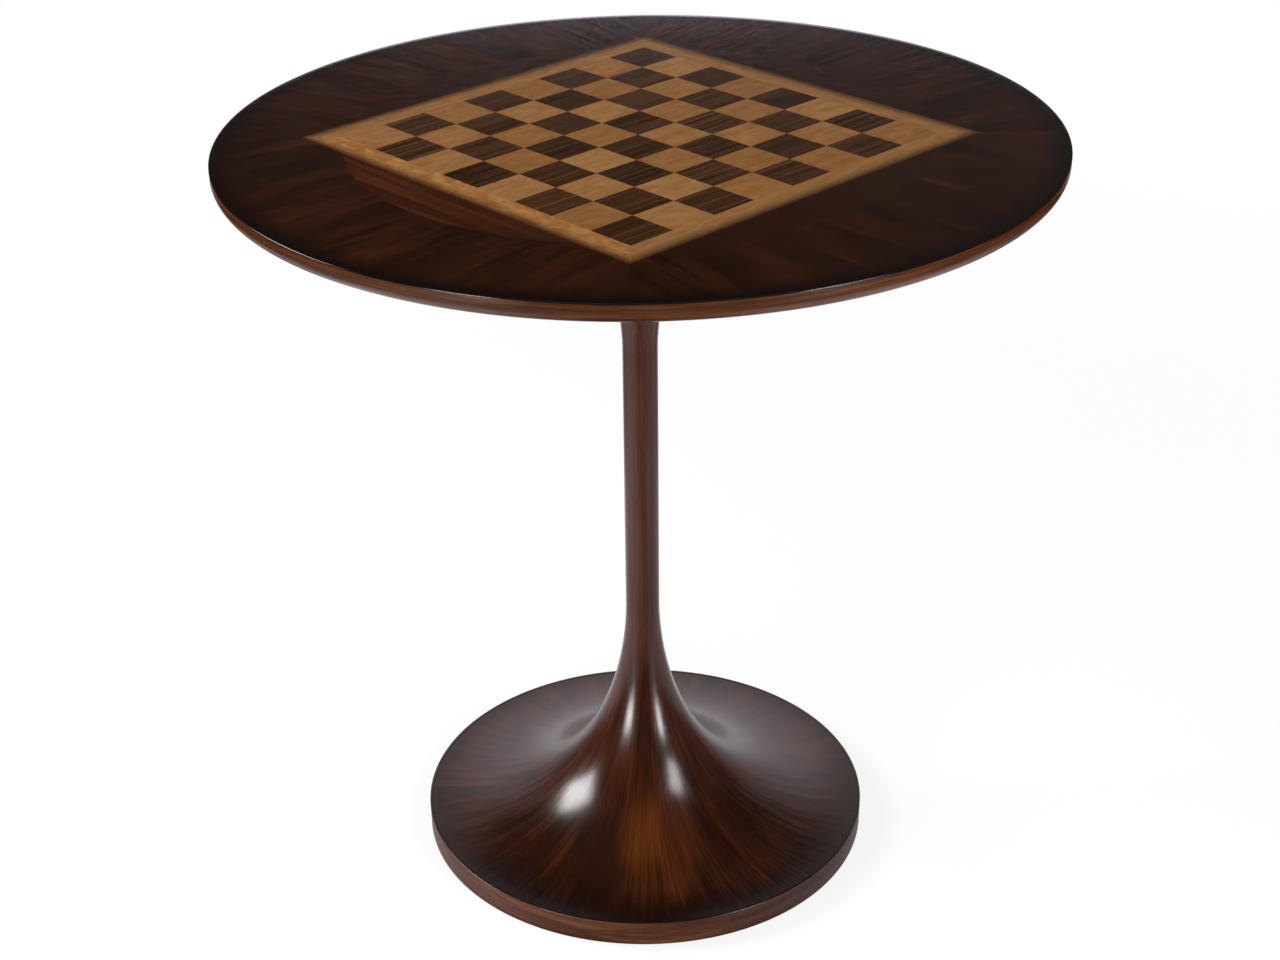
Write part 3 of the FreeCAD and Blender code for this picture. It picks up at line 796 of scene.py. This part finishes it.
# %% Raw boards, castings, plating and nylon
HIDDEN = [
    ("laminated_core_board", ["top_core", "trumpet_core"], (90, 90, 5), 0.75, 0.0, "#8f6f4c", "#b28e66"),
    ("birch_plywood", ["bottom_plate"], (160, 5, 1.5), 0.6, 0.0, "#a5814f", "#c4a271"),
    ("painted_grey_iron", ["base_weight"], (2, 2, 2), 0.6, 0.0, "#202122", "#323334"),
    ("zinc_plated_steel", ["mounting_plate", "plate_screws", "locating_pins", "rod_coupling", "tie_rod",
                           "rod_washer", "rod_nut", "weight_screws", "bottom_screws"]
     + ["glide_stud_%d" % n for n in range(1, 5)], (5, 5, 5), 0.32, 1.0, "#a9abad", "#c6c7c4"),
    ("turned_brass", ["glide_inserts"], (3, 3, 0.6), 0.3, 1.0, "#b08d4a", "#cdae6b"),
    ("moulded_nylon", ["glide_foot_%d" % n for n in range(1, 5)], (1.5, 1.5, 1.5), 0.5, 0.0,
     "#161616", "#262626"),
]
for name, nodes, size_mm, roughness, metallic, low, high in HIDDEN:
    material, tree, shader = new_material(name)
    cloud = figure_layer(tree, add(tree, "TexCoord").outputs["Object"], size_mm, 4.0)
    tint = add(tree, "ValToRGB", {"Fac": cloud}, ramp=[(0.35, low), (0.65, high)])
    rough = add(tree, "MapRange", {"Value": cloud, "To Min": roughness - 0.1, "To Max": roughness + 0.1})
    grit = add(tree, "Bump", {"Height": cloud, "Distance": 0.05 * MM})
    join(tree, shader, {"Base Color": tint, "Roughness": rough, "Normal": grit, "Metallic": metallic})
    dress(material, *[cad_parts[node] for node in nodes])

# %% [markdown]
# ## Camera
# The camera stands where the photographer stood. Its place, tilt and focal length were worked out from
# the board's grid, the rim, the column and the foot in a picture of 1280 by 960 pixels, whose axis lies 49
# pixels left of the middle and 171 below it. A shift of the lens keeps that framing.

# %% Place the camera
PICTURE = (1280, 960)
FOCAL_PIXELS, AXIS = 2105.76, (590.71, 651.10)
VIEW_TURN, PITCH_DOWN, YAW, ROLL = (math.radians(a) for a in (-43.667, 32.4011, -1.7754, 1.4808))
CAMERA_PLACE = Vector((2.76, -1837.80, 1366.26)) * MM

lens = bpy.data.cameras.new("camera")
lens.sensor_fit, lens.sensor_width = "HORIZONTAL", 36.0
lens.lens = lens.sensor_width * FOCAL_PIXELS / PICTURE[0]
lens.shift_x = (PICTURE[0] / 2 - AXIS[0]) / PICTURE[0]
lens.shift_y = (AXIS[1] - PICTURE[1] / 2) / PICTURE[0]
camera = new_object("camera", lens)
camera.matrix_world = (Matrix.Rotation(VIEW_TURN, 4, "Z")
                       @ Matrix.Translation(CAMERA_PLACE)
                       @ Matrix.Rotation(-YAW, 4, "Z")
                       @ Matrix.Rotation(math.pi / 2 - PITCH_DOWN, 4, "X")
                       @ Matrix.Rotation(-ROLL, 4, "Z"))
bpy.context.scene.camera = camera
print("camera at", [round(x, 3) for x in camera.matrix_world.translation], "lens", round(lens.lens, 2))

# %% [markdown]
# ## Floor
# The floor is white and keeps the table's soft shadow: to the camera, and in reflections, most of it
# glows plain white, and the rest takes the light of the lamps. Away from the table it fades to white.
# Seen from below it is clear, so that the underside can be looked at.

# %% Floor
FLOOR_RADIUS = 40.0


def sheet(points):
    """A grid of points as rows, and the faces between its neighbours."""
    return points.reshape(-1, 3), quads(np.arange(points[..., 0].size).reshape(points.shape[:2]))


def seen_directly(tree):
    """1 for rays from the camera, off a mirror or through glass, 0 for rays that only carry light."""
    seen = add(tree, "LightPath")
    first = add(tree, "Math", {0: seen.outputs["Is Camera Ray"], 1: seen.outputs["Is Glossy Ray"]},
                operation="MAXIMUM")
    return add(tree, "Math", {0: first, 1: seen.outputs["Is Transmission Ray"]}, operation="MAXIMUM")


def stage_object(name, points, faces, material):
    """Smooth mesh with one material that belongs to the stage and not to the table."""
    mesh = bpy.data.meshes.new(name)
    mesh.from_pydata(points.tolist(), [], faces.tolist())
    mesh.materials.append(material)
    mesh.shade_smooth()
    thing = new_object(name, mesh)
    return thing


def disc(radius, steps=96):
    """Rings of points at growing radii about the origin, r from 0 to the full radius."""
    ring = radius * np.array([0, 0.02, 0.1, 0.4, 1.0])[:, None]
    angle = np.linspace(0, 2 * np.pi, steps + 1)
    return sheet(np.stack([ring * np.cos(angle), ring * np.sin(angle), 0 * ring * angle], -1))


paper, tree, shader = new_material("white_floor_paper")
rays = seen_directly(tree)
fade = add(tree, "MapRange", {"Value": radius_at(tree), "From Min": 0.5, "From Max": 2.4,
                              "To Min": 0.78}, **EASED)
share = add(tree, "Math", {0: rays, 1: fade}, operation="MULTIPLY")
matt = add(tree, "BsdfDiffuse", {"Color": colour("#f0f0f0")})
glow = add(tree, "Emission", {"Color": colour("#ffffff"), "Strength": 1.0})
lit = add(tree, "MixShader", {0: share, 1: matt, 2: glow})
clear = add(tree, "BsdfTransparent")
under = add(tree, "NewGeometry").outputs["Backfacing"]
sided = add(tree, "MixShader", {0: under, 1: lit, 2: clear})
tree.nodes.remove(shader)
join(tree, tree.nodes["Material Output"], {"Surface": sided})
paper.cycles.emission_sampling = "NONE"
floor = stage_object("floor", *disc(FLOOR_RADIUS), paper)
if floor.data.polygons[-1].normal.z < 0:
    floor.data.flip_normals()
print("floor radius", FLOOR_RADIUS, "faces up:", floor.data.polygons[-1].normal.z > 0)

# %% [markdown]
# ## Cloth and screens
# A lacquered top is a mirror at this slant, and a white room would turn it grey. Photographers hang black
# cloth round such a piece and set low white screens behind it. Here the cloth is a dome with a hem that lies
# on the floor, open behind; it is not lit but glows, and its glow is painted light, grey close to the table
# and black farther out. The hem starts inside the base's outline, so that the foot of the band mirrors cloth
# and not a ring of white floor. A flat screen of a metre's height silvers the far edge of the top and no
# more. A curved one nearer by is lower than the top, so that only the dish of the base mirrors it. The screen
# and the wall glow too, with painted light. Only reflections see the three, and the camera and the lamps'
# light pass through them.

# %% Shapes of the cloth and the screens
HEM_LIFT = 0.4 * MM


def dome(radius, inner, open_half):
    """Sphere of azimuth and elevation above a flat hem, which runs in to a radius except open_half behind."""
    azimuth = np.linspace(-np.pi, np.pi, 145)
    start = np.where(np.abs(azimuth) < np.pi - open_half, inner, radius)
    hem = start + np.linspace(0, 1, 9)[:-1, None] * (radius - start)
    elevation = np.linspace(0, np.pi / 2, 25)[:, None] + 0 * azimuth
    reach = np.concatenate([hem, radius * np.cos(elevation)])
    height = np.concatenate([0 * hem, radius * np.sin(elevation)]) + HEM_LIFT
    turn = azimuth + VIEW_TURN
    return sheet(np.stack([reach * np.sin(turn), -reach * np.cos(turn), height], -1))


def screen(behind, half, high, bend):
    """Upright sheet behind the axis, on x and z: y = sqrt(behind^2 - bend x^2), so flat if bend is 0."""
    across, up = np.meshgrid(np.linspace(-half, half, 33), np.linspace(0, high, 9), indexing="ij")
    depth = np.sqrt(behind ** 2 - bend * across ** 2)
    return sheet(np.stack([across, depth, up], -1) @ np.array(Matrix.Rotation(VIEW_TURN, 3, "Z")).T)


def for_reflections(name, points, faces, level):
    """A stage piece that glows by a level made of nodes, and that only reflections see."""
    material, tree, shader = new_material(name + "_cloth")
    glow = add(tree, "Emission", {"Color": colour("#fbf6ff"), "Strength": level(tree)})
    tree.nodes.remove(shader)
    join(tree, tree.nodes["Material Output"], {"Surface": glow})
    material.cycles.emission_sampling = "NONE"
    thing = stage_object(name, points, faces, material)
    thing.visible_camera = thing.visible_shadow = thing.visible_diffuse = False
    print(name, len(faces), "faces")

# %% [markdown]
# How bright each of the three is at a spot decides how light the lacquer looks where it mirrors that spot.
# Each level is worked out from the spot's distance from the axis, its height and its side of the view.

# %% Levels of the cloth and the screens
HEM_START = 225 * MM
HEM_OPENING = math.radians(42)


def toward(tree, direction):
    """Metres from the axis along a level direction, given as an angle from the view's right."""
    angle = VIEW_TURN + direction
    where = add(tree, "TexCoord").outputs["Object"]
    return add(tree, "VectorMath", {0: where, 1: (math.cos(angle), math.sin(angle), 0)},
               operation="DOT_PRODUCT").outputs["Value"]


def cloth_level(tree):
    """Hem lit on both sides of the front, dim at the foot and far out, and a haze on the dome's right."""
    radius = radius_at(tree)
    near = add(tree, "MapRange", {"Value": radius, "From Min": 1.8, "From Max": 0.8})
    foot = add(tree, "MapRange", {"Value": radius, "From Min": 0.25, "From Max": 0.6, "To Min": 0.4})
    ahead = add(tree, "Math", {0: toward(tree, -math.pi / 2), 1: radius}, operation="DIVIDE")
    lit = add(tree, "MapRange", {"Value": ahead, "From Min": 0.98, "From Max": 0.75, "To Min": 0.1})
    side = add(tree, "MapRange", {"Value": toward(tree, 0), "From Min": -0.3, "From Max": 0.3,
                                  "To Min": 1.0, "To Max": 0.71})
    hem = add(tree, "Math", {0: near, 1: foot}, operation="MULTIPLY")
    hem = add(tree, "Math", {0: hem, 1: side}, operation="MULTIPLY")
    height = height_at(tree)
    low = add(tree, "MapRange", {"Value": height, "From Min": 2.35, "From Max": 1.7,
                                 "To Max": 0.022}, **EASED)
    right = add(tree, "MapRange", {"Value": toward(tree, 0), "From Max": 1.2, "To Max": 0.03}, **EASED)
    dim = add(tree, "MapRange", {"Value": height, "From Min": 0.01, "From Max": 0.1})
    haze = add(tree, "Math", {0: low, 1: right}, operation="ADD")
    haze = add(tree, "Math", {0: haze, 1: dim}, operation="MULTIPLY")
    return add(tree, "Math", {0: hem, 1: lit, 2: haze}, operation="MULTIPLY_ADD")


def screen_level(tree):
    """Brightest in the middle, falling to the sides."""
    offset = add(tree, "Math", {0: toward(tree, 0)}, operation="ABSOLUTE")
    return add(tree, "MapRange", {"Value": offset, "From Min": 0.1, "From Max": 1.3,
                                  "To Min": 1.5, "To Max": 0.3})


def wall_level(tree):
    """White below the middle of its height, and dim at its upper edge and its ends."""
    offset = add(tree, "Math", {0: toward(tree, 0)}, operation="ABSOLUTE")
    ends = add(tree, "MapRange", {"Value": offset, "From Min": 0.70, "From Max": 0.40, "To Max": 1.1})
    low = add(tree, "MapRange", {"Value": height_at(tree), "From Min": 0.72, "From Max": 0.44}, **EASED)
    return add(tree, "Math", {0: ends, 1: low}, operation="MULTIPLY")


for_reflections("black_flags", *dome(radius=4.2, inner=HEM_START, open_half=HEM_OPENING), cloth_level)
for_reflections("white_screen", *screen(behind=1.45, half=1.25, high=1.005, bend=0), screen_level)
for_reflections("white_wall", *screen(behind=0.8, half=0.72, high=0.72, bend=1), wall_level)

# %% [markdown]
# ## Lamps
# Two softboxes stand left and right of the table at about forty degrees, and two smaller ones lower down,
# nearer the camera. They give the four soft streaks on the trumpet. Each is set by the direction its
# reflection comes from, seen from the table, and its strength by the brightness of its face.

# %% Lamps
def softbox(name, azimuth, elevation, distance, width, height, brightness, aim=(0, 0, 0.1)):
    """Area lamp facing the table: azimuth 0 is the camera's side, and right is positive."""
    a, e = math.radians(azimuth), math.radians(elevation)
    away = Vector((math.sin(a) * math.cos(e), -math.cos(a) * math.cos(e), math.sin(e)))
    away.rotate(Matrix.Rotation(VIEW_TURN, 3, "Z"))
    data = bpy.data.lights.new(name, "AREA")
    data.shape, data.size, data.size_y = "RECTANGLE", width, height
    data.energy = brightness * math.pi * width * height
    lamp = new_object(name, data)
    lamp.location = Vector(aim) + away * distance
    lamp.rotation_mode = "QUATERNION"
    lamp.rotation_quaternion = away.to_track_quat("Z", "Y")
    lamp.visible_camera = False
    print(name, "at", [round(x, 2) for x in lamp.location], round(data.energy, 1), "W")


softbox("left_softbox", -98, 37, 2.6, 1.05, 0.85, 18)
softbox("right_softbox", 52, 37, 2.6, 0.6, 0.82, 13)
softbox("left_low_softbox", -41, 7.5, 2.4, 0.64, 0.48, 25.5)
softbox("right_low_softbox", 43, 8.8, 2.4, 0.46, 0.54, 23)

# %% [markdown]
# ## World and view
# The room is plain white where it is seen, and gives less light than it shows, so that the softboxes
# model the wood. The Standard view keeps the hex colours as they were written. A filmic one would bend
# them.

# %% World and view
world = bpy.data.worlds.new("white_room")
bpy.context.scene.world = world
world.use_nodes = True
tree = world.node_tree
tree.nodes.clear()
strength = add(tree, "MapRange", {"Value": seen_directly(tree), "To Min": 0.6})
room = add(tree, "Background", {"Color": colour("#ffffff"), "Strength": strength})
add(tree, "OutputWorld", {"Surface": room})
world.cycles.sampling_method = "NONE"
bpy.context.scene.view_settings.view_transform = "Standard"
print("world", world.name, "view", bpy.context.scene.view_settings.view_transform)
